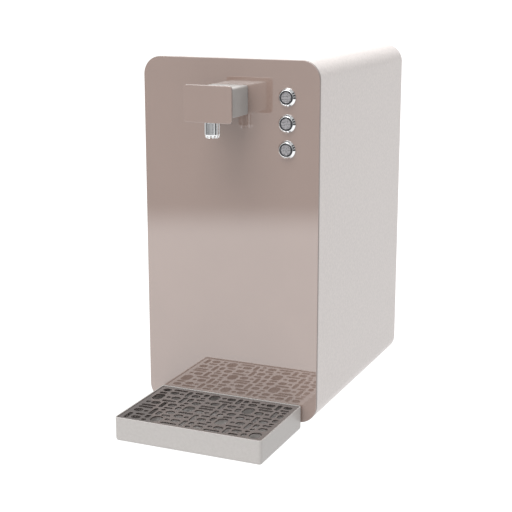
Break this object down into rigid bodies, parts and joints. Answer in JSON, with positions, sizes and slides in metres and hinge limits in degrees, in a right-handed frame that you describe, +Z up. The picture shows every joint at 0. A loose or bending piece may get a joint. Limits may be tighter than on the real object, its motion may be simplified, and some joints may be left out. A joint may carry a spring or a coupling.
{
  "type": "countertop water dispenser",
  "caption": "Upright countertop water dispenser with a mirrored front, a square spout with a chrome nozzle, push buttons and a removable drip tray with a patterned grille.",
  "frame": {"origin": "on the worktop, at the middle of the whole outline seen from above, fittings and drip tray included", "axes": "+Z up; -Y is the front, where the spout, the buttons and the drip tray are; +X is the user's right"},
  "size_m": [0.228, 0.459, 0.448],
  "materials": {
    "shell_grey": "satin",
    "panel_mirror": "gloss",
    "frame_dark": "matte",
    "rear_grey": "satin",
    "zinc_sheet": "satin",
    "black_rubber": "matte",
    "screw_steel": "satin",
    "spout_white": "satin",
    "chrome": "polished",
    "white_plastic": "satin",
    "brass": "satin",
    "stainless": "satin",
    "black_plastic": "matte",
    "button_grey": "satin",
    "tray_grey": "satin",
    "grille_steel": "satin",
    "foam": "matte",
    "copper": "satin",
    "black_enamel": "satin",
    "fin_aluminium": "satin",
    "motor_case": "satin",
    "coil_blue": "satin",
    "board_green": "satin",
    "rocker_black": "gloss",
    "gas_blue": "satin"
  },
  "bodies": {
    "cabinet": {"outer_shell": "shell_grey", "front_panel": "panel_mirror", "front_frame": "frame_dark", "rear_cover": "rear_grey", "base_plate": "zinc_sheet", "foot_front_left": "black_rubber", "foot_front_right": "black_rubber", "foot_rear_left": "black_rubber", "foot_rear_right": "black_rubber", "rear_cover_screws": "screw_steel", "spout_housing": "spout_white", "spout_front_plate": "panel_mirror", "spout_screws": "screw_steel", "nozzle_body": "chrome", "nozzle_insert": "white_plastic", "nozzle_nut": "brass", "outlet_pipe": "stainless", "top_button_bezel": "chrome", "middle_button_bezel": "chrome", "bottom_button_bezel": "chrome", "top_button_ring": "black_plastic", "middle_button_ring": "black_plastic", "bottom_button_ring": "black_plastic", "button_nuts": "screw_steel", "top_button_switch": "black_plastic", "middle_button_switch": "black_plastic", "bottom_button_switch": "black_plastic", "tank_shelf": "zinc_sheet", "cold_tank": "stainless", "tank_insulation": "foam", "evaporator_coil": "copper", "compressor": "black_enamel", "compressor_grommets": "black_rubber", "compressor_bolts": "screw_steel", "condenser": "fin_aluminium", "fan_frame": "black_plastic", "pump_motor": "motor_case", "pump_head": "brass", "carbonator": "stainless", "valve_manifold": "white_plastic", "still_valve": "coil_blue", "chilled_valve": "coil_blue", "sparkling_valve": "coil_blue", "control_board": "board_green", "water_inlet": "chrome", "gas_inlet": "black_plastic", "power_inlet": "black_plastic", "power_switch_frame": "black_plastic", "suction_pipe": "copper", "discharge_pipe": "copper", "feed_hose": "white_plastic", "pump_hose": "white_plastic", "gas_hose": "gas_blue"},
    "top_button": {"top_button_cap": "button_grey"},
    "middle_button": {"middle_button_cap": "button_grey"},
    "bottom_button": {"bottom_button_cap": "button_grey"},
    "tray": {"drip_tray": "tray_grey"},
    "grille": {"drip_grille": "grille_steel"},
    "rocker": {"power_rocker": "rocker_black"},
    "fan": {"fan_rotor": "black_plastic"}
  },
  "joints": [
    {"name": "top_button_press", "type": "slide", "parent": "cabinet", "child": "top_button", "axis": [0, 1, 0], "range_m": [0, 0.0018], "stiffness_N_per_m": 1500, "springref_m": -0.001},
    {"name": "middle_button_press", "type": "slide", "parent": "cabinet", "child": "middle_button", "axis": [0, 1, 0], "range_m": [0, 0.0018], "stiffness_N_per_m": 1500, "springref_m": -0.001},
    {"name": "bottom_button_press", "type": "slide", "parent": "cabinet", "child": "bottom_button", "axis": [0, 1, 0], "range_m": [0, 0.0018], "stiffness_N_per_m": 1500, "springref_m": -0.001},
    {"name": "tray_pull", "type": "slide", "parent": "cabinet", "child": "tray", "axis": [0, -1, 0], "range_m": [0, 0.15]},
    {"name": "grille_lift", "type": "slide", "parent": "tray", "child": "grille", "axis": [0, 0, 1], "range_m": [0, 0.12]},
    {"name": "rocker_tilt", "type": "hinge", "parent": "cabinet", "child": "rocker", "pos_m": [-0.038, 0.2115, 0.212], "axis": [1, 0, 0], "range_deg": [0, 20]},
    {"name": "fan_spin", "type": "hinge", "parent": "cabinet", "child": "fan", "pos_m": [0.048, 0.1365, 0.0711], "axis": [0, 1, 0], "continuous": true}
  ]
}
